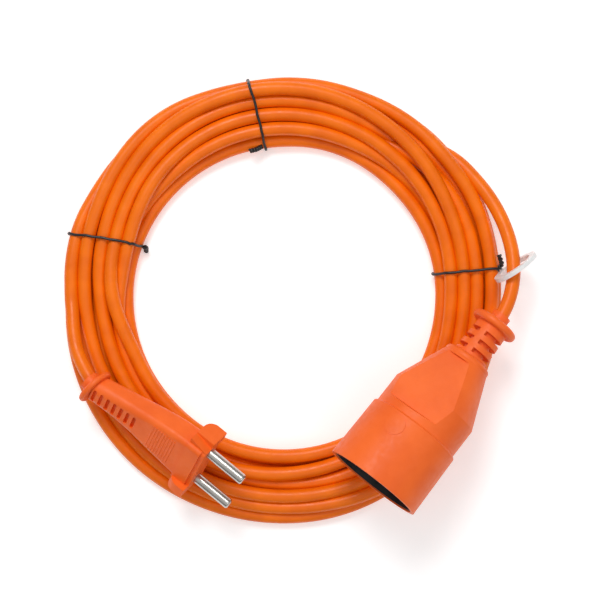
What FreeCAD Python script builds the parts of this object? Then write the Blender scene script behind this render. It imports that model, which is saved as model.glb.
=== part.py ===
"""A 5 m two-core extension cord, coiled and tied, with a contour plug and a round coupler.

Millimetres, +Z up. The cord lies on the plane Z = 0 and the origin is at the bottom centre of the
whole object. The plug and the coupler are modelled in frames of their own and placed on the coil:
the plug's origin is the centre of its face, with +Z along the pins and +X through both pins, and
the coupler's origin is the centre of its mouth, with +Z out of the mouth and +Y out of its panel.
"""
import FreeCAD, Part
import math
import os
import Sketcher

Vector = FreeCAD.Vector
Rotation = FreeCAD.Rotation
Placement = FreeCAD.Placement

X_AXIS = Vector(1, 0, 0)
Y_AXIS = Vector(0, 1, 0)
Z_AXIS = Vector(0, 0, 1)

# ---------------------------------------------------------------- driving dimensions

DIMENSIONS = {
    # the cord
    "cord_radius": 3.1,
    "core_radius": 1.2,
    "copper_radius": 0.65,
    "core_gap": 1.45,
    # the coil: the outer shape of all its turns
    "coil_centre_x": -7.9,
    "coil_half_x": 96.8,
    "coil_half_y": 100.4,
    "coil_hole_radius": 67.6,
    "coil_hole_x": -7.0,
    "coil_hole_y": 2.0,
    "coil_top": 12.4,
    "coil_edge_radius": 5.0,
    # the twist ties and the ring on the cord
    "tie_thickness": 1.3,
    "tie_width": 2.4,
    "tie_tail_radius": 1.1,
    "ring_outer_radius": 10.7,
    "ring_inner_radius": 7.7,
    "ring_thickness": 2.0,
    # the plug's pins and the bridge that holds them
    "pin_radius": 2.4,
    "pin_free_length": 19.0,
    "pin_half_spacing": 9.5,
    "pin_tip_radius": 1.1,
    "pin_root_radius": 2.1,
    "pin_collar_radius": 2.8,
    "pin_collar_rear": 8.0,
    "pin_collar_front": 6.0,
    "pin_shank_rear": 11.5,
    "crimp_radius": 1.2,
    "crimp_rear": 16.0,
    "crimp_bore_floor": 12.5,
    "bridge_rear": 10.4,
    "bridge_front": 2.5,
    "bridge_half_p": 11.2,
    "bridge_half_n": 4.4,
    "bridge_corner": 4.0,
    # the plug's head
    "head_length": 9.2,
    "head_round_radius": 18.4,
    "block_half_p": 12.7,
    "block_half_n": 6.8,
    "block_corner": 2.2,
    "nose_length": 2.0,
    "nose_half_n": 5.6,
    "ear_inner": 10.7,
    "ear_outer": 15.7,
    "ear_top": 9.8,
    "ear_foot": 0.3,
    "ear_heel_radius": 5.0,
    "ramp_rear": 15.2,
    # the plug's handle, which bends a little towards its cord
    "handle_shift_p": -2.45,
    "handle_shift_n": 2.5,
    "handle_bend": 8.0,
    "handle_end": 58.7,
    "plug_flange_radius": 8.8,
    "plug_flange_half": 1.3,
    "plug_flange_round": 1.2,
    "plug_collar_radius": 4.6,
    "plug_collar_length": 3.0,
    "relief_slot_count": 7,
    "relief_slot_pitch": 3.55,
    "relief_slot_width": 1.7,
    "relief_slot_length": 7.4,
    "relief_slot_depth": 1.7,
    "relief_slot_first": 57.0,
    "grip_rib_count": 9,
    "grip_rib_pitch": 1.45,
    "grip_rib_radius": 0.5,
    "grip_rib_half_length": 7.4,
    "grip_rib_first": 26.2,
    # where the plug lies
    "plug_face_x": -42.4,
    "plug_face_y": -72.5,
    "plug_face_z": 30.6,
    "plug_heading": -38.5,
    "plug_pitch": 9.5,
    "plug_roll": 44.5,
    # the coupler's outside, at distances behind its mouth
    "mouth_radius": 22.3,
    "sleeve_radius": 21.7,
    "sleeve_end": 29.3,
    "waist_radius": 20.6,
    "waist_start": 30.2,
    "waist_end": 42.0,
    "taper_start": 44.0,
    "shoulder_radius": 11.2,
    "shoulder_start": 67.0,
    "shoulder_round": 2.4,
    "relief_radius": 8.0,
    "relief_end_radius": 7.4,
    "relief_end": 86.0,
    "disc_radius": 10.8,
    "disc_start": 86.0,
    "disc_end": 89.6,
    "disc_round": 1.7,
    "collar_radius": 4.3,
    "collar_end": 93.4,
    "cord_entry": 82.0,
    "panel_front": 34.5,
    "panel_front_height": 16.3,
    "panel_rear": 65.5,
    "panel_rear_height": 10.4,
    "panel_wall_run": 1.6,
    "panel_width": 40.0,
    "badge_radius": 4.7,
    "badge_height": 0.4,
    "badge_from_mouth": 23.8,
    "coupler_slot_count": 3,
    "coupler_slot_pitch": 4.6,
    "coupler_slot_width": 2.1,
    "coupler_slot_first": 73.2,
    "coupler_slot_floor": 5.0,
    "coupler_rib_half": 1.5,
    # the coupler's inside
    "cup_radius": 20.6,
    "recess_radius": 19.7,
    "cup_lip": 0.6,
    "cup_floor_front": 17.5,
    "cup_floor_rear": 22.0,
    "entry_radius": 2.8,
    "carrier_radius": 13.4,
    "carrier_rear": 44.0,
    "sleeve_bore_radius": 2.43,
    "contact_radius": 3.1,
    "contact_front": 23.0,
    "contact_bore_floor": 40.0,
    "contact_rear": 42.0,
    "contact_crimp_rear": 49.0,
    "contact_crimp_floor": 44.5,
    # where the coupler lies
    "mouth_x": 31.55,
    "mouth_y": -79.35,
    "mouth_z": 39.0,
    "coupler_heading": -128.4,
    "coupler_pitch": 7.85,
    "coupler_roll": 64.0,
}

# Each section of the handle: distance behind the face, half sizes through the pins and across
# the flats, corner radius, and the share of the handle's shift that its centre has reached.
HANDLE_SECTIONS = [
    (7.0, 12.0, 6.2, 2.6, 0.0),
    (16.0, 11.3, 6.2, 2.8, 0.007),
    (26.0, 9.9, 6.0, 3.2, 0.085),
    (38.0, 8.0, 5.7, 3.7, 0.29),
    (50.0, 6.7, 5.5, 4.3, 0.63),
    (58.7, 6.0, 5.5, 4.7, 0.95),
]

# The stretches of cord that aren't coiled, from the coil to the housing.
PLUG_LEAD = [
    Vector(-101.4, 8.0, 9.3),
    Vector(-102.0, -4.0, 10.8),
    Vector(-101.2, -16.0, 14.2),
    Vector(-98.0, -27.2, 18.1),
]
COUPLER_LEAD = [
    Vector(63.5, 68.6, 9.3),
    Vector(72.4, 60.9, 10.0),
    Vector(80.6, 51.9, 12.0),
    Vector(87.2, 42.0, 14.8),
    Vector(91.9, 31.2, 18.0),
    Vector(94.4, 20.5, 21.1),
    Vector(94.6, 10.0, 23.6),
    Vector(92.5, 0.2, 25.2),
    Vector(88.3, -8.3, 26.5),
]

# Each tie: a point of its plane, the direction of that plane seen from above in degrees, and the
# route of its twisted tail from the band's surface.
TIES = {
    "twist_tie_top": (
        Vector(-20.0, 85.0, 0),
        -75.5,
        [Vector(-17.4, 70.6, 9.0), Vector(-19.6, 67.4, 11.5), Vector(-20.9, 66.4, 14.8)],
    ),
    "twist_tie_left": (
        Vector(-85.5, 26.5, 0),
        -10.0,
        [Vector(-71.8, 24.1, 8.2), Vector(-68.6, 23.2, 6.6), Vector(-68.2, 19.8, 4.4)],
    ),
    "twist_tie_right": (
        Vector(75.0, 12.6, 0),
        1.5,
        [Vector(88.2, 13.0, 9.6), Vector(90.4, 16.0, 12.6), Vector(88.9, 20.0, 15.2)],
    ),
}

RING_CENTRE = Vector(95.6, 14.6, 20.8)
RING_NORMAL = Vector(-0.578, 0.816, 0.12)
TIE_REACH = 60.0
SAME = 1e-6
ARC_SHARE = 0.45

doc = FreeCAD.newDocument("extension_cord")
sheet = doc.addObject("Spreadsheet::Sheet", "dims")


def fill_sheet():
    """Writes every driving dimension into the sheet, with its name beside it."""
    for row, (name, value) in enumerate(DIMENSIONS.items(), start=1):
        sheet.set(f"A{row}", name)
        sheet.set(f"B{row}", str(value))
        sheet.setAlias(f"B{row}", name)
    doc.recompute()


def terms(text):
    """Splits a sum such as 'head_length - nose_length' into (sign, name) pairs."""
    words = text.replace("- ", "-").replace("+ ", "+").split()
    return [(-1 if word.startswith("-") else 1, word.lstrip("+-")) for word in words]


def size(text):
    """The value of a sum of the sheet's dimensions."""
    return sum(sign * float(getattr(sheet, name)) for sign, name in terms(text))


def formula(text):
    """The same sum as an expression that reads the sheet."""
    return " ".join(("- " if sign < 0 else "+ ") + f"dims.{name}" for sign, name in terms(text)).lstrip("+ ")


# ---------------------------------------------------------------- bodies and sketches


def new_body(name):
    return doc.addObject("PartDesign::Body", name)


def new_sketch(body, name, plane, offset=None):
    """An empty sketch on one of the body's own origin planes, moved along its normal."""
    sketch = body.newObject("Sketcher::SketchObject", name)
    support = next(f for f in body.Origin.OriginFeatures if f.Role == plane)
    sketch.AttachmentSupport = [(support, "")]
    sketch.MapMode = "FlatFace"
    if offset:
        sketch.setExpression("AttachmentOffset.Base.z", formula(offset))
    return sketch


def pin_point(sketch, geometry, point, x, y):
    """Ties a point of the sketch to its place, given as sums of dimensions or None for zero."""
    for kind, axis, text in (("DistanceX", -2, x), ("DistanceY", -1, y)):
        if text is None:
            sketch.addConstraint(Sketcher.Constraint("PointOnObject", geometry, point, axis))
            continue
        index = sketch.addConstraint(
            Sketcher.Constraint(kind, -1, 1, geometry, point, size(text))
        )
        sketch.setExpression(f"Constraints[{index}]", formula(text))


def draw_polygon(sketch, corners):
    """A closed outline of straight edges through corners given as sums of dimensions."""
    places = [Vector(size(x) if x else 0, size(y) if y else 0, 0) for x, y in corners]
    first = sketch.GeometryCount
    count = len(corners)
    for index in range(count):
        sketch.addGeometry(Part.LineSegment(places[index], places[(index + 1) % count]))
    for index in range(count):
        following = first + (index + 1) % count
        sketch.addConstraint(Sketcher.Constraint("Coincident", first + index, 2, following, 1))
    for index, (x, y) in enumerate(corners):
        pin_point(sketch, first + index, 1, x, y)


def draw_circle(sketch, radius, x=None, y=None):
    centre = Vector(size(x) if x else 0, size(y) if y else 0, 0)
    circle = sketch.addGeometry(Part.Circle(centre, Z_AXIS, size(radius)))
    pin_point(sketch, circle, 3, x, y)
    index = sketch.addConstraint(Sketcher.Constraint("Radius", circle, size(radius)))
    sketch.setExpression(f"Constraints[{index}]", formula(radius))


def draw_rounded_rectangle(sketch, half_x, half_y, corner):
    """A rectangle centred on the sketch's origin, with its four corners rounded alike."""
    run_x = half_x - corner
    run_y = half_y - corner
    centres = [(run_x, run_y), (-run_x, run_y), (-run_x, -run_y), (run_x, -run_y)]
    arcs = []
    for quarter, (x, y) in enumerate(centres):
        circle = Part.Circle(Vector(x, y, 0), Z_AXIS, corner)
        start = quarter * math.pi / 2
        arcs.append(sketch.addGeometry(Part.ArcOfCircle(circle, start, start + math.pi / 2)))
    for quarter, arc in enumerate(arcs):
        following = arcs[(quarter + 1) % 4]
        a = sketch.getPoint(arc, 2)
        b = sketch.getPoint(following, 1)
        side = sketch.addGeometry(Part.LineSegment(a, b))
        sketch.addConstraint(Sketcher.Constraint("Tangent", arc, 2, side, 1))
        sketch.addConstraint(Sketcher.Constraint("Tangent", side, 2, following, 1))
    return arcs


def bound_rounded_rectangle(sketch, half_x, half_y, corner):
    """A rounded rectangle whose half sizes and corner radius follow the sheet."""
    arcs = draw_rounded_rectangle(sketch, size(half_x), size(half_y), size(corner))
    for arc in arcs[1:]:
        sketch.addConstraint(Sketcher.Constraint("Equal", arcs[0], arc))
    radius = sketch.addConstraint(Sketcher.Constraint("Radius", arcs[0], size(corner)))
    sketch.setExpression(f"Constraints[{radius}]", formula(corner))
    pin_point(sketch, arcs[0], 3, f"{half_x} -{corner}", f"{half_y} -{corner}")
    pin_point(sketch, arcs[2], 3, f"-{half_x} +{corner}", f"-{half_y} +{corner}")


def pad(body, sketch, name, length, reverse=False, midplane=False):
    feature = body.newObject("PartDesign::Pad", name)
    feature.Profile = sketch
    feature.setExpression("Length", formula(length))
    feature.Reversed = reverse
    feature.Midplane = midplane
    return feature


def revolve(body, sketch, name):
    """Turns an outline drawn beside the sketch's vertical axis all the way round it."""
    feature = body.newObject("PartDesign::Revolution", name)
    feature.Profile = sketch
    feature.ReferenceAxis = (sketch, ["V_Axis"])
    feature.Angle = 360
    return feature


def turned_body(name, outline):
    """A body of revolution about its own Z axis from an outline of (radius, height) corners."""
    body = new_body(name)
    sketch = new_sketch(body, name + "_outline", "XZ_Plane")
    draw_polygon(sketch, outline)
    revolve(body, sketch, name + "_turned")
    return body


def round_edges(body, name, radius, wanted):
    """Fillets those edges of the body's last feature that the test picks."""
    doc.recompute()
    base = body.Tip
    names = [f"Edge{i}" for i, edge in enumerate(base.Shape.Edges, start=1) if wanted(edge)]
    feature = body.newObject("PartDesign::Fillet", name)
    feature.Base = (base, names)
    feature.setExpression("Radius", formula(radius))
    return feature


def is_round(edge, radius, height):
    """Is this edge a full circle of this radius at this height?"""
    curve = edge.Curve
    if not isinstance(curve, Part.Circle) or not edge.Closed:
        return False
    return abs(curve.Radius - radius) < SAME and abs(curve.Center.z - height) < SAME


# ---------------------------------------------------------------- cords and wires


def rounded_path(points):
    """A wire of straight runs joined by tangent arcs, each as large as its two runs allow."""
    edges = []
    radii = []
    start = points[0]
    for before, corner, after in zip(points, points[1:], points[2:]):
        incoming = corner - before
        outgoing = after - corner
        turn = incoming.getAngle(outgoing)
        reach = ARC_SHARE * min(incoming.Length, outgoing.Length)
        radius = reach / math.tan(turn / 2)
        incoming.normalize()
        outgoing.normalize()
        first = corner - incoming * reach
        last = corner + outgoing * reach
        inward = (outgoing - incoming).normalize()
        middle = corner + inward * (radius / math.cos(turn / 2) - radius)
        edges.append(Part.LineSegment(start, first).toShape())
        edges.append(Part.Arc(first, middle, last).toShape())
        radii.append(round(radius, 1))
        start = last
    edges.append(Part.LineSegment(start, points[-1]).toShape())
    return Part.Wire(edges), radii


def tube_shape(name, points, radius):
    """A round solid along a path, with its volume checked against section times length."""
    path, radii = rounded_path(points)
    direction = points[1] - points[0]
    section = Part.Wire([Part.Circle(points[0], direction, radius).toShape()])
    solid = path.makePipeShell([section], True, False)
    expected = math.pi * radius**2 * path.Length
    print(
        f"{name}: length {path.Length:.1f} mm, radii {radii} mm,"
        f" volume {solid.Volume:.0f} of {expected:.0f} mm3"
    )
    return solid


def plain_feature(name, shape, placement=None):
    feature = doc.addObject("Part::Feature", name)
    feature.Shape = shape
    if placement:
        feature.Placement = placement
    return feature


def join(name, pieces):
    feature = doc.addObject("Part::MultiFuse", name)
    feature.Shapes = pieces
    return feature


def cut(name, base, tool):
    feature = doc.addObject("Part::Cut", name)
    feature.Base = base
    feature.Tool = tool
    return feature


def hollow(name, solid, pieces):
    """The solid less each piece in turn, so that every piece fits it face to face."""
    for number, piece in enumerate(pieces[:-1]):
        solid = cut(f"{name}_{number}", solid, piece)
    return cut(name, solid, pieces[-1])


def whole_cores(prefix, cores):
    """Each core's copper and insulation as one rod, for the channel it lies in."""
    return [join(f"{prefix}_core_{first}", cores[first : first + 2]) for first in (0, 2)]


def insulated_wire(prefix, colour, pole, points, bared, placement):
    """One core of the cord: the copper, and the insulation round all but its bared end."""
    copper = tube_shape(f"{prefix}_copper_{pole}", points, size("copper_radius"))
    direction = (points[1] - points[0]).normalize()
    covered = [points[0] + direction * bared] + points[1:]
    solid = tube_shape(f"{prefix}_wire_{colour}", covered, size("core_radius"))
    copper_node = plain_feature(f"{prefix}_copper_{pole}", copper, placement)
    solid_node = plain_feature(f"{prefix}_wire_{colour}", solid.cut(copper), placement)
    return [copper_node, solid_node]


# ---------------------------------------------------------------- where the housings lie


def housing_placement(origin, heading, pitch, roll):
    """A frame at origin whose +Z points along heading and pitch, turned about it by roll.

    The heading is measured from +X in the XY plane. At no roll the frame's +X is as close to
    straight up as it can be.
    """
    yaw = math.radians(size(heading))
    rise = math.radians(size(pitch))
    spin = math.radians(size(roll))
    along = Vector(
        math.cos(rise) * math.cos(yaw), math.cos(rise) * math.sin(yaw), math.sin(rise)
    )
    side = Vector(math.sin(yaw), -math.cos(yaw), 0)
    top = side.cross(along)
    across = top * math.cos(spin) - side * math.sin(spin)
    return Placement(origin, Rotation(across, along.cross(across), along, "ZXY"))


fill_sheet()

plug_place = housing_placement(
    Vector(size("plug_face_x"), size("plug_face_y"), size("plug_face_z")),
    "plug_heading",
    "plug_pitch",
    "plug_roll",
)
coupler_place = housing_placement(
    Vector(size("mouth_x"), size("mouth_y"), size("mouth_z")),
    "coupler_heading",
    "coupler_pitch",
    "coupler_roll",
)

# ---------------------------------------------------------------- the plug


def make_pin(pole, side):
    """A solid pin: its bare front, a thinner root with a collar, and a crimp for its core."""
    body = turned_body(
        f"plug_pin_{pole}",
        [
            (None, "pin_free_length"),
            (None, "-crimp_bore_floor"),
            ("copper_radius", "-crimp_bore_floor"),
            ("copper_radius", "-crimp_rear"),
            ("crimp_radius", "-crimp_rear"),
            ("crimp_radius", "-pin_shank_rear"),
            ("pin_root_radius", "-pin_shank_rear"),
            ("pin_root_radius", "-pin_collar_rear"),
            ("pin_collar_radius", "-pin_collar_rear"),
            ("pin_collar_radius", "-pin_collar_front"),
            ("pin_root_radius", "-pin_collar_front"),
            ("pin_root_radius", None),
            ("pin_radius", None),
            ("pin_radius", "pin_free_length"),
        ],
    )
    tip = size("pin_free_length")
    round_edges(body, f"pin_tip_{pole}", "pin_tip_radius", lambda e: is_round(e, size("pin_radius"), tip))
    body.Placement = plug_place * Placement(X_AXIS * (side * size("pin_half_spacing")), Rotation())
    return body


def make_bridge(pins):
    """The moulded insulator that sets the two pins 19 mm apart."""
    body = new_body("plug_bridge_form")
    sketch = new_sketch(body, "bridge_outline", "XY_Plane", "-bridge_rear")
    bound_rounded_rectangle(sketch, "bridge_half_p", "bridge_half_n", "bridge_corner")
    pad(body, sketch, "bridge_pad", "bridge_rear -bridge_front")
    body.Placement = plug_place
    return cut("plug_pin_bridge", body, join("plug_pins_together", pins))


def make_head_block():
    """The head between its ears: a thick block and a thinner nose in front of it."""
    body = new_body("plug_head_block")
    block = new_sketch(body, "block_outline", "XY_Plane", "-head_length")
    bound_rounded_rectangle(block, "block_half_p", "block_half_n", "block_corner")
    pad(body, block, "block_pad", "head_length -nose_length")
    nose = new_sketch(body, "nose_outline", "XY_Plane", "-head_length")
    bound_rounded_rectangle(nose, "block_half_p", "nose_half_n", "block_corner")
    pad(body, nose, "nose_pad", "head_length")
    return body


def make_head_side(name, turn):
    """One ear of the head and, beside it, the ramp that a socket's guide rib runs up."""
    ear = new_body(f"{name}_ear")
    outline = new_sketch(ear, f"{name}_ear_outline", "YZ_Plane", "-ear_outer")
    draw_polygon(
        outline,
        [
            ("-ear_foot", "-head_length"),
            ("ear_top", "-head_length"),
            ("ear_top", None),
            ("-ear_foot", None),
        ],
    )
    pad(ear, outline, f"{name}_ear_pad", "ear_outer -ear_inner")
    top = size("ear_top")

    def is_heel(edge):
        ends = [vertex.Point for vertex in edge.Vertexes]
        return all(abs(p.y - top) < SAME and p.z < -SAME for p in ends)

    round_edges(ear, f"{name}_ear_heel", "ear_heel_radius", is_heel)
    ear.Placement = Placement(Vector(), Rotation(Z_AXIS, turn))

    ramp = new_body(f"{name}_ramp")
    slope = new_sketch(ramp, f"{name}_ramp_outline", "XZ_Plane")
    draw_polygon(
        slope,
        [
            (None, "-head_length"),
            ("ramp_rear", "-head_length"),
            ("block_half_p", None),
            (None, None),
        ],
    )
    pad(ramp, slope, f"{name}_ramp_pad", "block_half_n -nose_length", reverse=True)
    ramp.Placement = Placement(Vector(), Rotation(Z_AXIS, turn))
    return [ear, ramp]


def make_head():
    """The head: block, two ears and two ramps, inside the round that a socket's recess admits."""
    sides = make_head_side("upper", 0) + make_head_side("lower", 180)
    square = join("plug_head_square", [make_head_block()] + sides)
    limit = doc.addObject("Part::Cylinder", "plug_head_limit")
    limit.setExpression("Radius", formula("head_round_radius"))
    limit.setExpression("Height", formula("head_length"))
    limit.setExpression("Placement.Base.z", formula("-head_length"))
    head = doc.addObject("Part::Common", "plug_head")
    head.Base = square
    head.Tool = limit
    return head


def handle_centre(share):
    """The centre of the handle's section, at a share of its whole shift towards the cord."""
    return Vector(size("handle_shift_p"), size("handle_shift_n"), 0) * share


def handle_share(depth):
    """The share of the shift at a distance behind the face, read off the handle's sections."""
    for near, far in zip(HANDLE_SECTIONS, HANDLE_SECTIONS[1:]):
        if depth <= far[0]:
            along = (depth - near[0]) / (far[0] - near[0])
            return near[4] + along * (far[4] - near[4])
    return HANDLE_SECTIONS[-1][4]


def handle_flat(depth):
    """Half the handle's thickness across its flats at a distance behind the face."""
    for near, far in zip(HANDLE_SECTIONS, HANDLE_SECTIONS[1:]):
        if depth <= far[0]:
            along = (depth - near[0]) / (far[0] - near[0])
            return near[2] + along * (far[2] - near[2])
    return HANDLE_SECTIONS[-1][2]


def make_handle():
    """The handle, lofted from the head's width down to the cord's strain relief."""
    body = new_body("plug_handle")
    sketches = []
    for index, (depth, half_p, half_n, corner, share) in enumerate(HANDLE_SECTIONS):
        sketch = new_sketch(body, f"handle_section_{index}", "XY_Plane")
        sketch.AttachmentOffset = Placement(handle_centre(share) - Z_AXIS * depth, Rotation())
        draw_rounded_rectangle(sketch, half_p, half_n, corner)
        sketches.append(sketch)
    loft = body.newObject("PartDesign::AdditiveLoft", "handle_loft")
    loft.Profile = sketches[0]
    loft.Sections = sketches[1:]
    return body


def make_plug_flange():
    """The disc behind the handle and the collar that the cord leaves by."""
    flange = new_body("plug_flange")
    sketch = new_sketch(flange, "plug_flange_outline", "XZ_Plane")
    draw_polygon(
        sketch,
        [
            (None, "-plug_flange_half -plug_collar_length"),
            ("plug_collar_radius", "-plug_flange_half -plug_collar_length"),
            ("plug_collar_radius", "-plug_flange_half"),
            ("plug_flange_radius", "-plug_flange_half"),
            ("plug_flange_radius", "plug_flange_half"),
            (None, "plug_flange_half"),
        ],
    )
    revolve(flange, sketch, "plug_flange_turned")
    rim = size("plug_flange_radius")
    half = size("plug_flange_half")
    round_edges(
        flange,
        "plug_flange_rim",
        "plug_flange_round",
        lambda e: is_round(e, rim, half) or is_round(e, rim, -half),
    )
    flange.Placement = flange_place()
    return flange


def flange_place():
    """The plug flange's own frame in the plug's frame, leaning with the handle's bend."""
    lean = Rotation(handle_centre(1).cross(Z_AXIS), -size("handle_bend"))
    depth = size("handle_end") + size("plug_flange_half")
    return Placement(handle_centre(1) - Z_AXIS * depth, lean)


def rounded_slot(length, width, depth):
    """A slot cutter with round ends: long along X, wide along Z and cut along -Y from zero."""
    half = (length - width) / 2
    radius = width / 2
    a = Vector(-half, 0, -radius)
    b = Vector(half, 0, -radius)
    c = Vector(half, 0, radius)
    d = Vector(-half, 0, radius)
    outline = Part.Wire(
        [
            Part.LineSegment(a, b).toShape(),
            Part.Arc(b, Vector(half + radius, 0, 0), c).toShape(),
            Part.LineSegment(c, d).toShape(),
            Part.Arc(d, Vector(-half - radius, 0, 0), a).toShape(),
        ]
    )
    return Part.Face(outline).extrude(Y_AXIS * -depth)


def make_relief_slots():
    """The row of slots in both flats that lets the handle's end bend with the cord."""
    cutters = []
    for index in range(int(size("relief_slot_count"))):
        depth = size("relief_slot_first") - index * size("relief_slot_pitch")
        centre = handle_centre(handle_share(depth)) - Z_AXIS * depth
        for turn in (0, 180):
            slot = rounded_slot(
                size("relief_slot_length"),
                size("relief_slot_width"),
                size("relief_slot_depth") + 1,
            )
            slot.translate(Y_AXIS * (handle_flat(depth) + 1))
            slot.Placement = Placement(centre, Rotation(Z_AXIS, turn)) * slot.Placement
            cutters.append(slot)
    return plain_feature("plug_relief_slots", Part.makeCompound(cutters))


def make_grip_ribs():
    """The fine ribs across both flats of the handle, just behind the head."""
    ribs = []
    for index in range(int(size("grip_rib_count"))):
        depth = size("grip_rib_first") - index * size("grip_rib_pitch")
        centre = handle_centre(handle_share(depth)) - Z_AXIS * depth
        half = size("grip_rib_half_length")
        for side in (-1, 1):
            start = centre + Y_AXIS * (side * (handle_flat(depth) - 0.2)) - X_AXIS * half
            ribs.append(Part.makeCylinder(size("grip_rib_radius"), 2 * half, start, X_AXIS))
    return plain_feature("plug_grip_ribs", Part.makeCompound(ribs))


def make_plug():
    """The whole plug: pins, bridge, two cores and the rubber moulded round them."""
    pins = [make_pin("line", 1), make_pin("neutral", -1)]
    bridge = make_bridge(pins)
    cores = []
    exit_place = flange_place()
    for pole, colour, side in (("line", "brown", 1), ("neutral", "blue", -1)):
        gap = side * size("core_gap")
        spread = side * size("pin_half_spacing")
        points = [
            Vector(spread, 0, -size("crimp_bore_floor")),
            Vector(spread, 0, -size("crimp_rear") - 2),
            Vector(gap, 0, -size("crimp_rear") - 18),
            exit_place.multVec(Vector(gap, 0, size("core_radius"))),
        ]
        bared = size("crimp_rear") - size("crimp_bore_floor")
        cores += insulated_wire("plug", colour, pole, points, bared, plug_place)
    rubber = join(
        "plug_rubber_form",
        [make_handle(), make_head(), make_plug_flange(), make_grip_ribs()],
    )
    slotted = cut("plug_rubber_slotted", rubber, make_relief_slots())
    slotted.Placement = plug_place
    lead = make_plug_lead()
    insert = join("plug_insert", pins + [bridge])
    overmould = hollow("plug_overmould", slotted, [insert, lead] + whole_cores("plug", cores))
    return [overmould, bridge] + pins + cores + [lead]


def make_plug_lead():
    """The free cord from the coil up to the plug."""
    exit_place = plug_place * flange_place()
    bottom = exit_place.multVec(Vector(0, 0, 0))
    points = PLUG_LEAD + [bottom]
    shape = tube_shape("cord_plug_lead", points, size("cord_radius"))
    return plain_feature("cord_plug_lead", shape)


# ---------------------------------------------------------------- the coupler


def make_socket_cup():
    """The hard insert that lines the mouth: a cup with two entry holes in its floor."""
    cup = turned_body(
        "coupler_socket_cup",
        [
            (None, "-cup_floor_rear"),
            ("cup_radius", "-cup_floor_rear"),
            ("cup_radius", "-cup_lip"),
            ("recess_radius", "-cup_lip"),
            ("recess_radius", "-cup_floor_front"),
            (None, "-cup_floor_front"),
        ],
    )
    holes = new_sketch(cup, "cup_entries", "XY_Plane", "-cup_floor_front")
    draw_circle(holes, "entry_radius", "pin_half_spacing")
    draw_circle(holes, "entry_radius", "-pin_half_spacing")
    pocket = cup.newObject("PartDesign::Pocket", "cup_entry_pocket")
    pocket.Profile = holes
    pocket.setExpression("Length", formula("cup_floor_rear -cup_floor_front"))
    cup.Placement = coupler_place
    return cup


def make_contact(pole, side):
    """A contact sleeve that takes a 4.8 mm pin, with a crimp for its core behind."""
    body = turned_body(
        f"coupler_contact_{pole}",
        [
            (None, "-contact_bore_floor"),
            ("sleeve_bore_radius", "-contact_bore_floor"),
            ("sleeve_bore_radius", "-contact_front"),
            ("contact_radius", "-contact_front"),
            ("contact_radius", "-contact_rear"),
            ("crimp_radius", "-contact_rear"),
            ("crimp_radius", "-contact_crimp_rear"),
            ("copper_radius", "-contact_crimp_rear"),
            ("copper_radius", "-contact_crimp_floor"),
            (None, "-contact_crimp_floor"),
        ],
    )
    side_step = X_AXIS * (side * size("pin_half_spacing"))
    body.Placement = coupler_place * Placement(side_step, Rotation())
    return body


def make_carrier():
    """The insulator behind the cup, with a chamber for each contact."""
    body = new_body("coupler_contact_carrier")
    sketch = new_sketch(body, "carrier_outline", "XY_Plane", "-carrier_rear")
    draw_circle(sketch, "carrier_radius")
    pad(body, sketch, "carrier_pad", "carrier_rear -cup_floor_rear")
    front = new_sketch(body, "carrier_chambers", "XY_Plane", "-cup_floor_rear")
    draw_circle(front, "contact_radius", "pin_half_spacing")
    draw_circle(front, "contact_radius", "-pin_half_spacing")
    chambers = body.newObject("PartDesign::Pocket", "carrier_chamber_pocket")
    chambers.Profile = front
    chambers.setExpression("Length", formula("contact_rear -cup_floor_rear"))
    rear = new_sketch(body, "carrier_tails", "XY_Plane", "-contact_rear")
    draw_circle(rear, "crimp_radius", "pin_half_spacing")
    draw_circle(rear, "crimp_radius", "-pin_half_spacing")
    tails = body.newObject("PartDesign::Pocket", "carrier_tail_pocket")
    tails.Profile = rear
    tails.setExpression("Length", formula("carrier_rear -contact_rear"))
    body.Placement = coupler_place
    return body


def make_coupler_form():
    """The coupler's outside: sleeve, waist, taper, strain relief, disc and collar."""
    body = turned_body(
        "coupler_form",
        [
            (None, None),
            (None, "-collar_end"),
            ("collar_radius", "-collar_end"),
            ("collar_radius", "-disc_end"),
            ("disc_radius", "-disc_end"),
            ("disc_radius", "-disc_start"),
            ("relief_end_radius", "-disc_start"),
            ("relief_radius", "-shoulder_start -shoulder_round"),
            ("shoulder_radius", "-shoulder_start -shoulder_round"),
            ("shoulder_radius", "-shoulder_start"),
            ("waist_radius", "-taper_start"),
            ("waist_radius", "-waist_start"),
            ("sleeve_radius", "-sleeve_end"),
            ("mouth_radius", None),
        ],
    )
    shoulder = size("shoulder_radius")
    shoulder_end = size("-shoulder_start -shoulder_round")
    disc = size("disc_radius")
    ends = (size("-disc_start"), size("-disc_end"))

    def is_rim(edge):
        on_shoulder = is_round(edge, shoulder, shoulder_end)
        return on_shoulder or any(is_round(edge, disc, end) for end in ends)

    round_edges(body, "coupler_rims", "disc_round", is_rim)
    return body


def make_panel_cutter():
    """What the flat panel on the taper takes away, from its front wall to its rear step."""
    body = new_body("coupler_panel_cutter")
    sketch = new_sketch(body, "panel_outline", "YZ_Plane")
    draw_polygon(
        sketch,
        [
            ("panel_front_height", "-panel_front"),
            ("panel_rear_height", "-panel_rear"),
            ("mouth_radius", "-panel_rear"),
            ("mouth_radius", "-panel_front +panel_wall_run"),
        ],
    )
    pad(body, sketch, "panel_cut", "panel_width", midplane=True)
    return body


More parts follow.
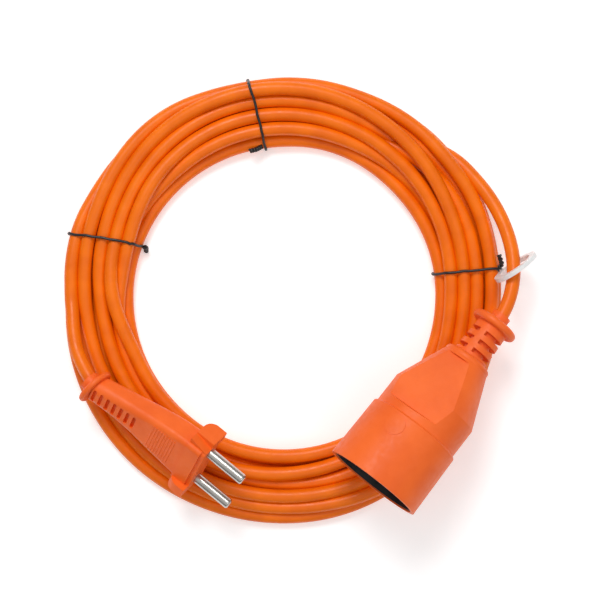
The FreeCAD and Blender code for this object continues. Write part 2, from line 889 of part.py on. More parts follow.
def make_coupler_slots():
    """Three rows of slots round the strain relief, each row left whole at two opposite ribs."""
    cutters = []
    outer = size("relief_radius") + 1
    floor = size("coupler_slot_floor")
    width = size("coupler_slot_width")
    for index in range(int(size("coupler_slot_count"))):
        start = Vector(0, 0, -size("coupler_slot_first") - index * size("coupler_slot_pitch"))
        ring = Part.makeCylinder(outer, width, start).cut(Part.makeCylinder(floor, width, start))
        half = size("coupler_rib_half")
        corner = start - X_AXIS * half - Y_AXIS * outer
        ribs = Part.makeBox(2 * half, 2 * outer, width, corner)
        cutters.append(ring.cut(ribs))
    return plain_feature("coupler_relief_slots", Part.makeCompound(cutters))


def make_badge():
    """A plain raised disc on the sleeve, above the panel's middle line."""
    top = size("sleeve_radius") + size("badge_height")
    start = Vector(0, size("sleeve_radius") - 2, -size("badge_from_mouth"))
    disc = Part.makeCylinder(size("badge_radius"), top, start, Y_AXIS)
    limit = Part.makeCylinder(top, size("sleeve_end"), Z_AXIS * -size("sleeve_end"))
    return plain_feature("coupler_badge", disc.common(limit))


def make_coupler():
    """The whole coupler: cup, carrier, contacts, two cores and the rubber moulded round them."""
    cup = make_socket_cup()
    carrier = make_carrier()
    contacts = [make_contact("line", 1), make_contact("neutral", -1)]
    cores = []
    for pole, colour, side in (("line", "brown", 1), ("neutral", "blue", -1)):
        gap = side * size("core_gap")
        spread = side * size("pin_half_spacing")
        rear = size("contact_crimp_rear")
        points = [
            Vector(spread, 0, -size("contact_crimp_floor")),
            Vector(spread, 0, -rear - 4),
            Vector(gap, 0, -rear - 20),
            Vector(gap, 0, size("core_radius") - size("cord_entry")),
        ]
        bared = rear - size("contact_crimp_floor")
        cores += insulated_wire("coupler", colour, pole, points, bared, coupler_place)
    form = join("coupler_rubber_form", [make_coupler_form(), make_badge()])
    cutters = join("coupler_cutters", [make_panel_cutter(), make_coupler_slots()])
    shaped = cut("coupler_rubber_shaped", form, cutters)
    shaped.Placement = coupler_place
    lead = make_coupler_lead()
    mouth = make_round_space("coupler_mouth_space", "cup_radius", "cup_floor_rear", None)
    behind = make_round_space("coupler_carrier_space", "carrier_radius", "carrier_rear", "cup_floor_rear")
    pieces = [mouth, behind] + contacts + [lead] + whole_cores("coupler", cores)
    overmould = hollow("coupler_overmould", shaped, pieces)
    return [overmould, cup, carrier] + contacts + cores + [lead]


def make_round_space(name, radius, rear, front):
    """A round space on the coupler's axis, from its rear to its front behind the mouth."""
    space = doc.addObject("Part::Cylinder", name)
    space.setExpression("Radius", formula(radius))
    space.setExpression("Height", formula(f"{rear} -{front}" if front else rear))
    space.Placement = coupler_place * Placement(Z_AXIS * -size(rear), Rotation())
    return space


def make_coupler_lead():
    """The free cord from the coupler down to the coil."""
    rear = coupler_place.multVec(Z_AXIS * -size("cord_entry"))
    points = COUPLER_LEAD + [rear]
    shape = tube_shape("cord_coupler_lead", points, size("cord_radius"))
    return plain_feature("cord_coupler_lead", shape)


# ---------------------------------------------------------------- the coil, its ties and the ring


def make_coil_form(name, inset):
    """The outer shape of all the coil's turns, or the same shape a tie's thickness smaller."""
    body = new_body(name)
    sketch = new_sketch(body, name + "_outline", "XY_Plane")
    centre = Vector(size("coil_centre_x"), 0, 0)
    half_x = size("coil_half_x") - inset
    half_y = size("coil_half_y") - inset
    outside = Part.Ellipse(centre + Y_AXIS * half_y, centre + X_AXIS * half_x, centre)
    sketch.addGeometry(outside)
    hole = Vector(size("coil_hole_x"), size("coil_hole_y"), 0)
    sketch.addGeometry(Part.Circle(hole, Z_AXIS, size("coil_hole_radius") + inset))
    sketch.AttachmentOffset = Placement(Z_AXIS * inset, Rotation())
    feature = body.newObject("PartDesign::Pad", name + "_pad")
    feature.Profile = sketch
    feature.Length = size("coil_top") - 2 * inset
    doc.recompute()
    rims = [
        f"Edge{i}"
        for i, edge in enumerate(feature.Shape.Edges, start=1)
        if edge.Closed
    ]
    rounding = body.newObject("PartDesign::Fillet", name + "_rounding")
    rounding.Base = (feature, rims)
    rounding.Radius = size("coil_edge_radius") - inset
    return body


def make_tie_slab(name, point, heading):
    """A thin upright slab across the coil that holds one tie's band."""
    slab = doc.addObject("Part::Box", name + "_slab")
    slab.Length = TIE_REACH
    slab.setExpression("Width", formula("tie_width"))
    slab.setExpression("Height", formula("coil_top"))
    turn = Rotation(Z_AXIS, heading)
    corner = Vector(-TIE_REACH / 2, -size("tie_width") / 2, 0)
    slab.Placement = Placement(point, turn) * Placement(corner, Rotation())
    return slab


def make_coil_and_ties():
    """The coil's solid with each tie's band let into its surface, and the ties."""
    form = make_coil_form("cord_coil_form", 0)
    core = make_coil_form("cord_coil_core", size("tie_thickness"))
    skin = cut("cord_coil_skin", form, core)
    bands = []
    ties = []
    for name, (point, heading, tail) in TIES.items():
        band = doc.addObject("Part::Common", name + "_band")
        band.Base = skin
        band.Tool = make_tie_slab(name, point, heading)
        bands.append(band)
        stem = plain_feature(name + "_tail", tube_shape(name, tail, size("tie_tail_radius")))
        ties.append(join(name, [band, stem]))
    coil = cut("cord_coil", form, join("all_ties", ties))
    return [coil] + ties


def make_ring():
    """The flat plastic ring that hangs on the cord beside the coupler."""
    ring = new_body("hang_ring")
    sketch = new_sketch(ring, "ring_outline", "XY_Plane")
    draw_circle(sketch, "ring_outer_radius")
    draw_circle(sketch, "ring_inner_radius")
    pad(ring, sketch, "ring_pad", "ring_thickness", midplane=True)
    ring.Placement = Placement(RING_CENTRE, Rotation(Z_AXIS, RING_NORMAL))
    return ring


# ---------------------------------------------------------------- build, check and write


def check_and_export(nodes):
    """Stops on any failed object or broken solid, then writes one file for each sub-part."""
    doc.recompute()
    failed = [o.Name for o in doc.Objects if "Invalid" in o.State or "Error" in o.State]
    if failed:
        raise RuntimeError(f"these objects failed: {failed}")
    os.makedirs("parts", exist_ok=True)
    whole = FreeCAD.BoundBox()
    for node in nodes:
        shape = node.Shape
        if shape.isNull() or not shape.isValid() or shape.Volume <= 0:
            raise RuntimeError(f"{node.Name} has no sound solid")
        node.Label = node.Name
        shape.exportStep(f"parts/{node.Name}.step")
        whole.add(shape.optimalBoundingBox())
        print(f"{node.Name}: {len(shape.Solids)} solid, {shape.Volume:.0f} mm3")
    print(f"{len(nodes)} sub-parts, {whole.XLength:.1f} x {whole.YLength:.1f} x {whole.ZLength:.1f} mm")
    print(f"centre {whole.Center.x:.2f}, {whole.Center.y:.2f}, lowest {whole.ZMin:.2f} mm")


check_and_export(make_plug() + make_coupler() + make_coil_and_ties() + [make_ring()])
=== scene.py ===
"""An orange two-wire extension cord, coiled and tied, seen from straight above."""

import math
import random

import bpy
import numpy as np
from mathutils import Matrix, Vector


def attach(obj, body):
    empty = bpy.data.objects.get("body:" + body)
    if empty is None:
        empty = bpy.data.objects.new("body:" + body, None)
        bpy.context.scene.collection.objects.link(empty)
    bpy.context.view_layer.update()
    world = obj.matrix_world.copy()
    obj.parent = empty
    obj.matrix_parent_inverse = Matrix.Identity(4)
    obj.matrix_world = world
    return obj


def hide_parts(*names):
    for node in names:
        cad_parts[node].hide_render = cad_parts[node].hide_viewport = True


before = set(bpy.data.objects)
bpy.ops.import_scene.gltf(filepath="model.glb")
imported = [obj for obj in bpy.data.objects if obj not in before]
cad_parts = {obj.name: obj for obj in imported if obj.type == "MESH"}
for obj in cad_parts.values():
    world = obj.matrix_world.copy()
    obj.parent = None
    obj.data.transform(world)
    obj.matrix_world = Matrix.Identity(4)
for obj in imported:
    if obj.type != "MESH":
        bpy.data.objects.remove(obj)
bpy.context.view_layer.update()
random.seed(7)

MM = 0.001
CORD_RADIUS = 3.1 * MM
CORD_DIAMETER = 2 * CORD_RADIUS
CORD_BODY = "cord_set"

# ---------------------------------------------------------------- how the coil is laid

# The coil is worked out at evenly spaced stations round its centre. START_ANGLE is where its
# first station lies, in degrees anticlockwise from +X.
COIL_CENTRE = Vector((-7.2 * MM, 0.9 * MM, 0))
STATIONS_PER_TURN = 36
START_ANGLE = 30.0
KEY_STEP = 30.0
LEVEL_HEIGHT = 5.4 * MM

# The lead from the coupler takes the place of the stations before this one.
COIL_FIRST_STATION = 1

# How the turns settle: how much they resist bending, how strongly they keep to their keys, and
# how close the middles of two turns may come. Soft sheath gives a little where turns are tied.
SETTLE_STEPS = 900
STIFFNESS = 0.12
PULL = 0.03
CONTACT = 0.94 * CORD_DIAMETER
LEAST_DISTANCE = 0.001 * MM

# How far the coil's inside and its outside lie from its centre. The ties draw the outside in.
# The stations nearest to either end of the cord may leave the bundle.
COIL_INSIDE = 68 * MM
LOOSE_OUTSIDE = 102 * MM
TIED_OUTSIDE = 98.5 * MM
FREE_STATIONS = 3

# The plug and the coupler rest on the coil between these angles, on turns no higher than this.
HOUSINGS_FROM = 198.0
HOUSINGS_TO = 348.0
HOUSING_UNDERSIDE = 12.6 * MM
OPEN_TOP = 18 * MM

# The three twist ties round the coil: the angle where each one crosses the outside and the
# inside of the coil, in degrees, and its twisted tail, as points in mm. A tie is felt by the
# turns as far as TIE_SPREAD degrees away.
TIE_WIRE_RADIUS = 0.6 * MM
TIE_SPREAD = 35.0
TIES = [
    {
        "name": "tie_top",
        "node": "twist_tie_top",
        "outer_angle": 99.5,
        "inner_angle": 97.0,
        "tail": [(-17.2, 69.2, 6.5), (-19.4, 67.8, 7.6), (-22.4, 67.0, 8.4)],
    },
    {
        "name": "tie_left",
        "node": "twist_tie_left",
        "outer_angle": 163.3,
        "inner_angle": 160.0,
        "tail": [(-69.9, 23.8, 6.4), (-69.5, 23.5, 3.8), (-69.7, 22.0, 1.6)],
    },
    {
        "name": "tie_right",
        "node": "twist_tie_right",
        "outer_angle": 7.6,
        "inner_angle": 9.2,
        "tail": [(88.2, 13.0, 10.0), (90.4, 16.0, 12.8), (88.9, 20.0, 15.0)],
    },
]

# One row for each turn of the cord, from the coupler to the plug. Each pair is the turn's
# distance from the coil's centre in mm and its level (0 on the floor, 1 in the second
# layer), at 30 degrees and then at every 30 degrees anticlockwise.
TURNS = [
    [(103, 1.3), (84.5, 0.2), (82.5, 0), (82.5, 0), (86.5, 0), (88, 0),
     (91.5, 0), (93, 0), (94.5, 0), (97, 1), (94, 1), (92, 1)],
    [(97.5, 1.9), (94.5, 0.6), (97, 0.2), (100.5, 0.3), (95, 1), (88.5, 1),
     (87.5, 1), (90, 1), (90, 1), (90.5, 1), (87.5, 1), (85, 1)],
    [(91.5, 1.2), (85.5, 0.4), (77.5, 0), (76.5, 0), (80, 0), (79, 0),
     (80, 0), (83.5, 0), (84, 0), (84, 0.5), (81, 1), (78.5, 1)],
    [(85.5, 1.6), (90.5, 2), (96, 1.6), (95.5, 1.2), (88, 1), (80.5, 1),
     (79, 1), (81, 1), (79, 1), (77, 1), (75.5, 1), (75, 0.8)],
    [(78.5, 1.3), (82.5, 1.2), (83, 1.3), (82, 1.3), (74.5, 1), (72.5, 0.6),
     (76.5, 0), (79, 0), (79, 0), (80, 0), (81.5, 0), (83, 0)],
    [(84.5, 0), (88, 0.8), (89.5, 1.3), (89, 1.3), (81.5, 1.2), (75, 1),
     (71.5, 1), (70.5, 0.8), (70.5, 0.8), (70.5, 0.6), (70.5, 0.4), (71.5, 0.3)],
    [(72.5, 0.5), (72.5, 0), (73, 0), (70.5, 0), (70.5, 0), (70.5, 0),
     (71.5, 0), (74, 0), (73.5, 0), (74.5, 0), (75, 0), (77, 0)],
    [(77, 0), (76.5, 1), (76.5, 1.2), (76, 0.9), (76, 0), (83.5, 0),
     (87, 0), (88, 0), (89.5, 0), (88.5, 0), (88, 0), (89, 0)],
    [(93, 0.6), (90, 0.4), (87.5, 0), (88.5, 0), (92, 0), (95, 0),
     (96.5, 0), (98, 0), (98.5, 0.3), (97.5, 0), (94, 0), (94, 0)],
    [(101, 0), (92, 0), (92, 0), (94, 0), (98, 0.2), (95, 1.2)],
]

# The ends of the cord, as points in mm: from the coupler to the coil, and from the coil to
# the plug.
COUPLER_LEAD = [
    (82.2, -16.0, 27.8),
    (88.3, -8.3, 26.5),
    (92.5, 0.2, 25.2),
    (94.6, 10.0, 23.6),
    (94.4, 20.5, 21.1),
    (91.9, 31.2, 18.0),
    (87.2, 42.0, 14.8),
    (80.6, 51.9, 12.0),
]
PLUG_LEAD = [
    (-102.0, -4.0, 10.8),
    (-101.2, -16.0, 14.2),
    (-98.0, -27.2, 18.1),
    (-90.9, -38.4, 20.7),
]


def eased(share):
    """Goes from 0 to 1 as the share does, level at both ends."""
    return share * share * (3 - 2 * share)


def smooth_between(keys, place):
    """The value of a key row at a place between its keys, with no corner at a key."""
    index = min(int(place), len(keys) - 2)
    share = place - index
    before = keys[max(index - 1, 0)]
    start, end = keys[index], keys[index + 1]
    after = keys[min(index + 2, len(keys) - 1)]
    slope_in = (end - before) / 2
    slope_out = (after - start) / 2
    rise = eased(share)
    ease_in = share * (1 - share) ** 2
    ease_out = share * share * (1 - share)
    return start * (1 - rise) + end * rise + slope_in * ease_in - slope_out * ease_out


def first_route():
    """Radius and height of the cord at every station, before its turns have settled."""
    radii = []
    levels = []
    for turn in TURNS:
        radii += [radius * MM for radius, _ in turn]
        levels += [level for _, level in turn]
    per_key = int(STATIONS_PER_TURN * KEY_STEP / 360)
    count = (len(radii) - 1) * per_key + 1
    route = []
    for number in range(count):
        place = number / per_key
        height = CORD_RADIUS + LEVEL_HEIGHT * max(smooth_between(levels, place), 0)
        route.append((smooth_between(radii, place), height))
    return np.array(route)


def near_tie(angles):
    """How near these angles are to a tie: 1 at a tie, and 0 away from them all."""
    nearest = np.zeros(len(angles))
    for tie in TIES:
        away = np.abs((angles - tie["outer_angle"] + 180) % 360 - 180)
        near = np.clip(1 - away / TIE_SPREAD, 0, 1)
        nearest = np.maximum(nearest, eased(near))
    return nearest


def floor_limit(angles):
    """The lowest that the cord's middle may lie, a little more where a tie's wire is under it."""
    return CORD_RADIUS + 2 * TIE_WIRE_RADIUS * near_tie(angles)


def top_limit(angles):
    """The highest that the cord's middle may lie, less where a housing rests on the coil."""
    turned = angles % 360
    under = (turned > HOUSINGS_FROM) & (turned < HOUSINGS_TO)
    return np.where(under, HOUSING_UNDERSIDE - CORD_RADIUS, OPEN_TOP)


def outside_limit(angles):
    """The farthest that the cord's middle may lie from the coil's centre."""
    drawn_in = (LOOSE_OUTSIDE - TIED_OUTSIDE) * near_tie(angles)
    limit = LOOSE_OUTSIDE - CORD_RADIUS - drawn_in
    limit[:FREE_STATIONS] += CORD_DIAMETER
    limit[-FREE_STATIONS:] += CORD_DIAMETER
    return limit


def settle(route):
    """Lets the turns rest on the floor and on one another, inside the coil's outline."""
    goal = route.copy()
    count = len(route)
    angles = START_ANGLE + np.arange(count) * 360 / STATIONS_PER_TURN
    lowest = floor_limit(angles)
    highest = top_limit(angles)
    inside = COIL_INSIDE + CORD_RADIUS
    outside = outside_limit(angles)
    for _ in range(SETTLE_STEPS):
        bend = 0.5 * (route[:-2] + route[2:]) - route[1:-1]
        route[1:-1] += STIFFNESS * bend
        route += PULL * (goal - route)
        for apart in range(STATIONS_PER_TURN, count, STATIONS_PER_TURN):
            gap = route[apart:] - route[:-apart]
            distance = np.maximum(np.linalg.norm(gap, axis=1), LEAST_DISTANCE)
            overlap = np.maximum(CONTACT - distance, 0)
            push = gap * (0.5 * overlap / distance)[:, None]
            route[apart:] += push
            route[:-apart] -= push
        route[:, 0] = np.clip(route[:, 0], inside, outside)
        route[:, 1] = np.clip(route[:, 1], lowest, highest)
    return route


def polar_point(angle, radius, height):
    """The point at this angle, in radians, and this distance from the coil's centre."""
    return Vector((
        COIL_CENTRE.x + radius * math.cos(angle),
        COIL_CENTRE.y + radius * math.sin(angle),
        height,
    ))


def cord_points(route):
    """The cord's control points: the coupler's lead, the coil's turns and the plug's lead.

    The spline cuts inside its control points, so the coil's are set far enough outwards for it
    to pass each station at the station's own radius.
    """
    step = math.radians(360 / STATIONS_PER_TURN)
    outward = 2 / (1 + math.cos(step / 2) ** 2)
    points = [Vector(p) * MM for p in COUPLER_LEAD]
    for number, (radius, height) in enumerate(route):
        angle = math.radians(START_ANGLE) + number * step
        if number >= COIL_FIRST_STATION:
            points.append(polar_point(angle, radius * outward, height))
    points += [Vector(p) * MM for p in PLUG_LEAD]
    return points


# ---------------------------------------------------------------- the cord

# A curve's bevel is this times each point's radius, so the radii are real and the curve's
# bounding box is as well.
UNIT_BEVEL = 1.0

# How finely a curve is drawn: steps between two control points, and steps round its section.
CORD_STEPS = {"along": 6, "round": 8}
TIE_STEPS = {"along": 5, "round": 4}

CORD_NODES = ["cord_coil", "cord_plug_lead", "cord_coupler_lead"]


def round_curve(name, runs, radius, steps):
    """Round rods of this radius, as one object. Each run is its points and if it is a loop."""
    data = bpy.data.curves.new(name, "CURVE")
    data.dimensions = "3D"
    for points, is_loop in runs:
        spline = data.splines.new("NURBS")
        spline.points.add(len(points) - 1)
        for control, point in zip(spline.points, points):
            control.co = (*point, 1.0)
            control.radius = radius
        spline.order_u = 3
        spline.use_cyclic_u = is_loop
        spline.use_endpoint_u = not is_loop
        spline.resolution_u = steps["along"]
    data.bevel_depth = UNIT_BEVEL
    data.bevel_resolution = steps["round"]
    data.use_fill_caps = True
    rods = bpy.data.objects.new(name, data)
    bpy.context.scene.collection.objects.link(rods)
    return rods


def make_cord(route):
    """The whole cord, from inside the coupler to inside the plug."""
    points = cord_points(route)
    cord = round_curve("cord", [(points, False)], CORD_RADIUS, CORD_STEPS)
    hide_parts(*CORD_NODES)
    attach(cord, CORD_BODY)
    return cord


# ---------------------------------------------------------------- the twist ties

TIE_KINK = 0.35 * MM
TIE_POINT_SPACING = 2.5 * MM
RIM_POINTS = 24
TAIL_POINTS = 24
TAIL_TWISTS = 2.5


def turns_right(a, b, c):
    """Whether the way from a through b to c turns right or goes straight on."""
    return (b[0] - a[0]) * (c[1] - a[1]) - (b[1] - a[1]) * (c[0] - a[0]) <= 0


def hull_round(centres, reach):
    """The taut loop, in one plane, round circles of this reach about each centre."""
    rim = []
    for across, height in centres:
        for number in range(RIM_POINTS):
            turn = math.tau * number / RIM_POINTS
            rim.append((across + reach * math.cos(turn), height + reach * math.sin(turn)))
    rim.sort()
    loop = []
    for ordered in (rim, rim[::-1]):
        half = []
        for point in ordered:
            while len(half) > 1 and turns_right(half[-2], half[-1], point):
                half.pop()
            half.append(point)
        loop += half[:-1]
    return loop


def even_loop(loop, spacing):
    """The same closed loop with a point at every step of the spacing."""
    spaced = []
    for a, b in zip(loop, loop[1:] + loop[:1]):
        parts = max(int(math.dist(a, b) / spacing), 1)
        for number in range(parts):
            share = number / parts
            spaced.append((a[0] + (b[0] - a[0]) * share, a[1] + (b[1] - a[1]) * share))
    return spaced


def cord_section(route, angle):
    """Where each turn of the settled cord passes this angle: its radius and its height."""
    centres = []
    place = ((angle - START_ANGLE) % 360) * STATIONS_PER_TURN / 360
    while place < len(route) - 1:
        index = int(place)
        share = place - index
        if index >= COIL_FIRST_STATION:
            centres.append(route[index] * (1 - share) + route[index + 1] * share)
        place += STATIONS_PER_TURN
    return centres


def tie_loop(route, tie):
    """The tie's loop round all the turns, slanting a little from the outside to the inside."""
    middle_angle = (tie["outer_angle"] + tie["inner_angle"]) / 2
    centres = cord_section(route, middle_angle)
    loop = even_loop(hull_round(centres, CORD_RADIUS + TIE_WIRE_RADIUS), TIE_POINT_SPACING)
    inner = min(radius for radius, _ in loop)
    outer = max(radius for radius, _ in loop)
    points = []
    for radius, height in loop:
        share = (radius - inner) / (outer - inner)
        angle = tie["inner_angle"] * (1 - share) + tie["outer_angle"] * share
        angle += math.degrees(random.uniform(-TIE_KINK, TIE_KINK) / radius)
        points.append(polar_point(math.radians(angle), radius, max(height, TIE_WIRE_RADIUS)))
    return points


def twisted_pair(path):
    """Two wires wound round each other along a path."""
    wires = [[], []]
    tangent = (path[-1] - path[0]).normalized()
    side = tangent.cross(Vector((0, 0, 1))).normalized()
    up = side.cross(tangent)
    for number in range(TAIL_POINTS + 1):
        share = number / TAIL_POINTS
        along = share * (len(path) - 1)
        index = min(int(along), len(path) - 2)
        centre = path[index].lerp(path[index + 1], along - index)
        for which, wire in enumerate(wires):
            turn = math.tau * (TAIL_TWISTS * share + which / 2)
            offset = side * math.cos(turn) + up * math.sin(turn)
            wire.append(centre + offset * TIE_WIRE_RADIUS)
    return wires


def make_tie(route, tie):
    """A plastic-covered wire taut round the coil, its two ends twisted together."""
    tail = [Vector(p) * MM for p in tie["tail"]]
    runs = [(tie_loop(route, tie), True)]
    runs += [(wire, False) for wire in twisted_pair(tail)]
    wires = round_curve(tie["name"], runs, TIE_WIRE_RADIUS, TIE_STEPS)
    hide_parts(tie["node"])
    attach(wires, CORD_BODY)
    return wires


# ---------------------------------------------------------------- materials


class Shader:
    """A new material with one Principled shader, and short ways to add nodes to it."""

    def __init__(self, name, roughness, metallic=0.0):
        self.material = bpy.data.materials.new(name)
        self.material.use_nodes = True
        self.nodes = self.material.node_tree.nodes
        self.links = self.material.node_tree.links
        self.surface = self.nodes["Principled BSDF"]
        self.place = self.nodes.new("ShaderNodeTexCoord").outputs["Object"]
        self.bump = None
        self.set("Roughness", roughness)
        self.set("Metallic", metallic)

    def set(self, socket, value):
        """Sets one of the shader's own sockets, the same all over the surface."""
        self.surface.inputs[socket].default_value = value

    def noise(self, scale, detail=4.0, stretch=(1, 1, 1)):
        """Noise whose grains are about 1 / scale metres across."""
        mapping = self.nodes.new("ShaderNodeMapping")
        mapping.inputs["Scale"].default_value = stretch
        texture = self.nodes.new("ShaderNodeTexNoise")
        texture.inputs["Scale"].default_value = scale
        texture.inputs["Detail"].default_value = detail
        self.links.new(self.place, mapping.inputs["Vector"])
        self.links.new(mapping.outputs["Vector"], texture.inputs["Vector"])
        return texture.outputs["Fac"]

    def colours(self, source, low, high, start=0.35, end=0.65):
        """Colours the surface from low to high as the source goes from start to end."""
        ramp = self.nodes.new("ShaderNodeValToRGB")
        set_ramp(ramp, start, low, end, high)
        self.links.new(source, ramp.inputs["Fac"])
        self.links.new(ramp.outputs["Color"], self.surface.inputs["Base Color"])

    def roughness(self, source, low, high, start=0.33, end=0.67):
        """Changes the roughness from low to high as the source goes from start to end."""
        span = self.nodes.new("ShaderNodeMapRange")
        span.inputs["From Min"].default_value = start
        span.inputs["From Max"].default_value = end
        span.inputs["To Min"].default_value = low
        span.inputs["To Max"].default_value = high
        self.links.new(source, span.inputs["Value"])
        self.links.new(span.outputs["Result"], self.surface.inputs["Roughness"])

    def raised(self, source, height, strength=1.0):
        """Bumps of this height in metres, on top of any added before."""
        bump = self.nodes.new("ShaderNodeBump")
        bump.inputs["Strength"].default_value = strength
        bump.inputs["Distance"].default_value = height
        self.links.new(source, bump.inputs["Height"])
        if self.bump:
            self.links.new(self.bump, bump.inputs["Normal"])
        self.bump = bump.outputs["Normal"]
        self.links.new(self.bump, self.surface.inputs["Normal"])


def set_ramp(ramp, start, low, end, high):
    """Makes a colour ramp go from the low colour at start to the high one at end."""
    first, last = ramp.color_ramp.elements
    first.position = start
    first.color = (*low, 1)
    last.position = end
    last.color = (*high, 1)


def cord_sheath():
    """Orange PVC, half glossy, with faint scuffs and an uneven extruded skin."""
    shader = Shader("cord_sheath", roughness=0.38)
    shader.colours(shader.noise(90), low=(0.82, 0.14, 0.0), high=(0.92, 0.175, 0.0))
    shader.roughness(shader.noise(420), low=0.3, high=0.44)
    shader.raised(shader.noise(260, detail=2), height=0.12 * MM)
    shader.raised(shader.noise(2600), height=0.02 * MM)
    shader.set("Specular IOR Level", 0.28)
    return shader.material


def moulded_rubber():
    """The housings' soft orange PVC: matter and pinker than the cord, with a fine grain."""
    shader = Shader("moulded_rubber", roughness=0.5)
    shader.colours(shader.noise(70), low=(0.85, 0.12, 0.008), high=(0.92, 0.145, 0.014))
    shader.roughness(shader.noise(500), low=0.42, high=0.58)
    shader.raised(shader.noise(1900, detail=6), height=0.04 * MM)
    shader.raised(shader.noise(180, detail=2), height=0.08 * MM)
    shader.set("Specular IOR Level", 0.35)
    return shader.material


def milky_plastic():
    """The hang ring's clouded natural polyethylene, which lets some light through."""
    shader = Shader("milky_plastic", roughness=0.35)
    shader.colours(shader.noise(200), low=(0.84, 0.84, 0.83), high=(0.93, 0.93, 0.92))
    shader.roughness(shader.noise(700), low=0.28, high=0.45)
    shader.raised(shader.noise(1500), height=0.02 * MM)
    shader.set("Transmission Weight", 0.12)
    shader.set("Subsurface Weight", 0.4)
    shader.set("Subsurface Radius", (4 * MM, 4 * MM, 4 * MM))
    shader.set("IOR", 1.51)
    return shader.material


def worn_metal(name, low, high, smooth, dull):
    """Bright metal with small shifts of colour, streaks of duller shine and a faint unevenness."""
    shader = Shader(name, roughness=smooth, metallic=1.0)
    shader.colours(shader.noise(150), low, high)
    shader.roughness(shader.noise(700, stretch=(1, 6, 1)), smooth, dull)
    shader.raised(shader.noise(250, detail=1), height=0.001 * MM, strength=0.2)
    return shader.material


def plain_plastic(name, low, high, smooth, dull, grain):
    """Moulded plastic with a fine grain, small shifts of colour and uneven gloss."""
    shader = Shader(name, roughness=smooth)
    shader.colours(shader.noise(140), low, high)
    shader.roughness(shader.noise(600), smooth, dull)
    shader.raised(shader.noise(1800), grain)
    return shader.material


def node_materials():
    """Which material each CAD node gets that keeps its own mesh."""
    rubber = moulded_rubber()
    nickel = worn_metal("nickel", (0.50, 0.475, 0.44), (0.58, 0.555, 0.52), 0.2, 0.26)
    brass = worn_metal("brass", (0.72, 0.52, 0.24), (0.86, 0.66, 0.34), 0.2, 0.4)
    copper = worn_metal("copper", (0.78, 0.38, 0.22), (0.92, 0.5, 0.32), 0.25, 0.45)
    black = plain_plastic(
        "black_plastic", (0.010, 0.010, 0.011), (0.024, 0.023, 0.023), 0.28, 0.5, 0.03 * MM
    )
    inner = plain_plastic(
        "inner_plastic", (0.35, 0.30, 0.24), (0.45, 0.40, 0.32), 0.4, 0.55, 0.02 * MM
    )
    brown = plain_plastic(
        "brown_core", (0.10, 0.035, 0.015), (0.15, 0.055, 0.022), 0.35, 0.5, 0.02 * MM
    )
    blue = plain_plastic(
        "blue_core", (0.012, 0.10, 0.42), (0.02, 0.15, 0.55), 0.35, 0.5, 0.02 * MM
    )
    chosen = {
        "plug_pin_bridge": inner,
        "plug_pin_line": nickel,
        "plug_pin_neutral": nickel,
        "coupler_socket_cup": black,
        "coupler_contact_carrier": black,
        "coupler_contact_line": brass,
        "coupler_contact_neutral": brass,
        "hang_ring": milky_plastic(),
    }
    for housing in ("plug", "coupler"):
        chosen[f"{housing}_overmould"] = rubber
        chosen[f"{housing}_copper_line"] = copper
        chosen[f"{housing}_copper_neutral"] = copper
        chosen[f"{housing}_wire_brown"] = brown
        chosen[f"{housing}_wire_blue"] = blue
    return chosen


def tie_plastic():
    """The black plastic round the ties' wire."""
    return plain_plastic(
        "tie_plastic", (0.006, 0.006, 0.007), (0.02, 0.02, 0.021), 0.3, 0.5, 0.03 * MM
    )


def dress(piece, material):
    """Gives every material slot of the piece this material."""
    if not piece.data.materials:
        piece.data.materials.append(material)
    for slot in piece.material_slots:
        slot.material = material


# ---------------------------------------------------------------- floor, light and camera

WHITE = (1, 1, 1)
FLOOR_SIDE = 6.0
FLOOR_GLOW = 0.3

# The studio's brightness overhead is white times this; at the horizon it is this grey.
ROOM_STRENGTH = 0.7
HORIZON_GREY = (0.16, 0.16, 0.16)

CAMERA_HEIGHT = 0.9
CAMERA_LENS = 119
CAMERA_NEAR = 0.01


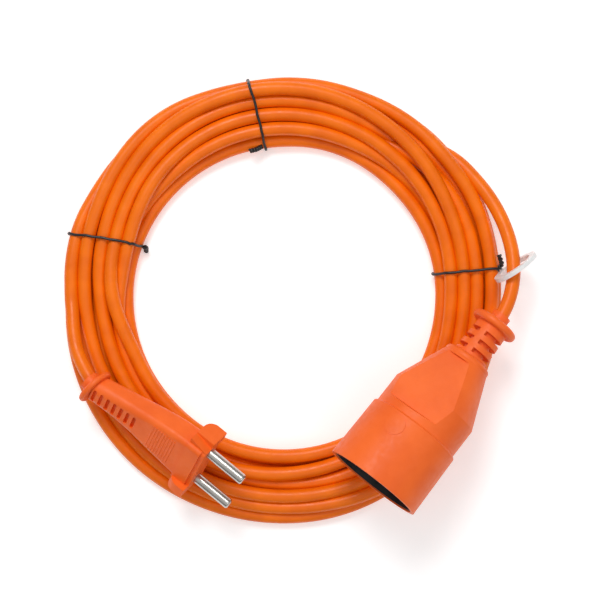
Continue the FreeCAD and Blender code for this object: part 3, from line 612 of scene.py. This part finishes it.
def pale_floor():
    """White paper that the cord lies on, faintly lit so that it stays white."""
    mesh = bpy.data.meshes.new("floor")
    half = FLOOR_SIDE / 2
    mesh.from_pydata(
        [(-half, -half, 0), (half, -half, 0), (half, half, 0), (-half, half, 0)],
        [],
        [(0, 1, 2, 3)],
    )
    floor = bpy.data.objects.new("floor", mesh)
    bpy.context.scene.collection.objects.link(floor)
    shader = Shader("floor_paper", roughness=0.8)
    shader.colours(shader.noise(30), low=(0.90, 0.90, 0.90), high=(0.93, 0.93, 0.93))
    shader.set("Emission Color", (*WHITE, 1))
    shader.set("Emission Strength", FLOOR_GLOW)
    mesh.materials.append(shader.material)


def soft_light(name, place, side, power):
    """A square area light aimed at the middle of the coil."""
    data = bpy.data.lights.new(name, "AREA")
    data.shape = "SQUARE"
    data.size = side
    data.energy = power
    lamp = bpy.data.objects.new(name, data)
    lamp.location = place
    lamp.rotation_euler = (-Vector(place)).to_track_quat("-Z", "Y").to_euler()
    bpy.context.scene.collection.objects.link(lamp)


def studio():
    """A room that is bright overhead and darker towards the horizon."""
    world = bpy.data.worlds.new("studio")
    world.use_nodes = True
    nodes = world.node_tree.nodes
    links = world.node_tree.links
    background = nodes["Background"]
    direction = nodes.new("ShaderNodeTexCoord").outputs["Generated"]
    split = nodes.new("ShaderNodeSeparateXYZ")
    ramp = nodes.new("ShaderNodeValToRGB")
    set_ramp(ramp, start=0.1, low=HORIZON_GREY, end=0.9, high=WHITE)
    links.new(direction, split.inputs["Vector"])
    links.new(split.outputs["Z"], ramp.inputs["Fac"])
    links.new(ramp.outputs["Color"], background.inputs["Color"])
    background.inputs["Strength"].default_value = ROOM_STRENGTH
    bpy.context.scene.world = world


def overhead_camera():
    """A camera straight above the coil, with the top of the picture towards +Y."""
    data = bpy.data.cameras.new("camera")
    data.lens = CAMERA_LENS
    data.clip_start = CAMERA_NEAR
    camera = bpy.data.objects.new("camera", data)
    camera.location = (0, 0, CAMERA_HEIGHT)
    bpy.context.scene.collection.objects.link(camera)
    bpy.context.scene.camera = camera


# ---------------------------------------------------------------- the scene

settled = settle(first_route())
cord = make_cord(settled)
dress(cord, cord_sheath())

black_tie = tie_plastic()
for tie in TIES:
    dress(make_tie(settled, tie), black_tie)

for node_name, material in node_materials().items():
    dress(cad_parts[node_name], material)

pale_floor()
soft_light("key", place=(-0.25, 0.9, 1.3), side=0.6, power=13)
soft_light("fill", place=(0.7, -0.5, 1.2), side=1.0, power=2.5)
studio()
overhead_camera()
bpy.context.scene.view_settings.view_transform = "Standard"
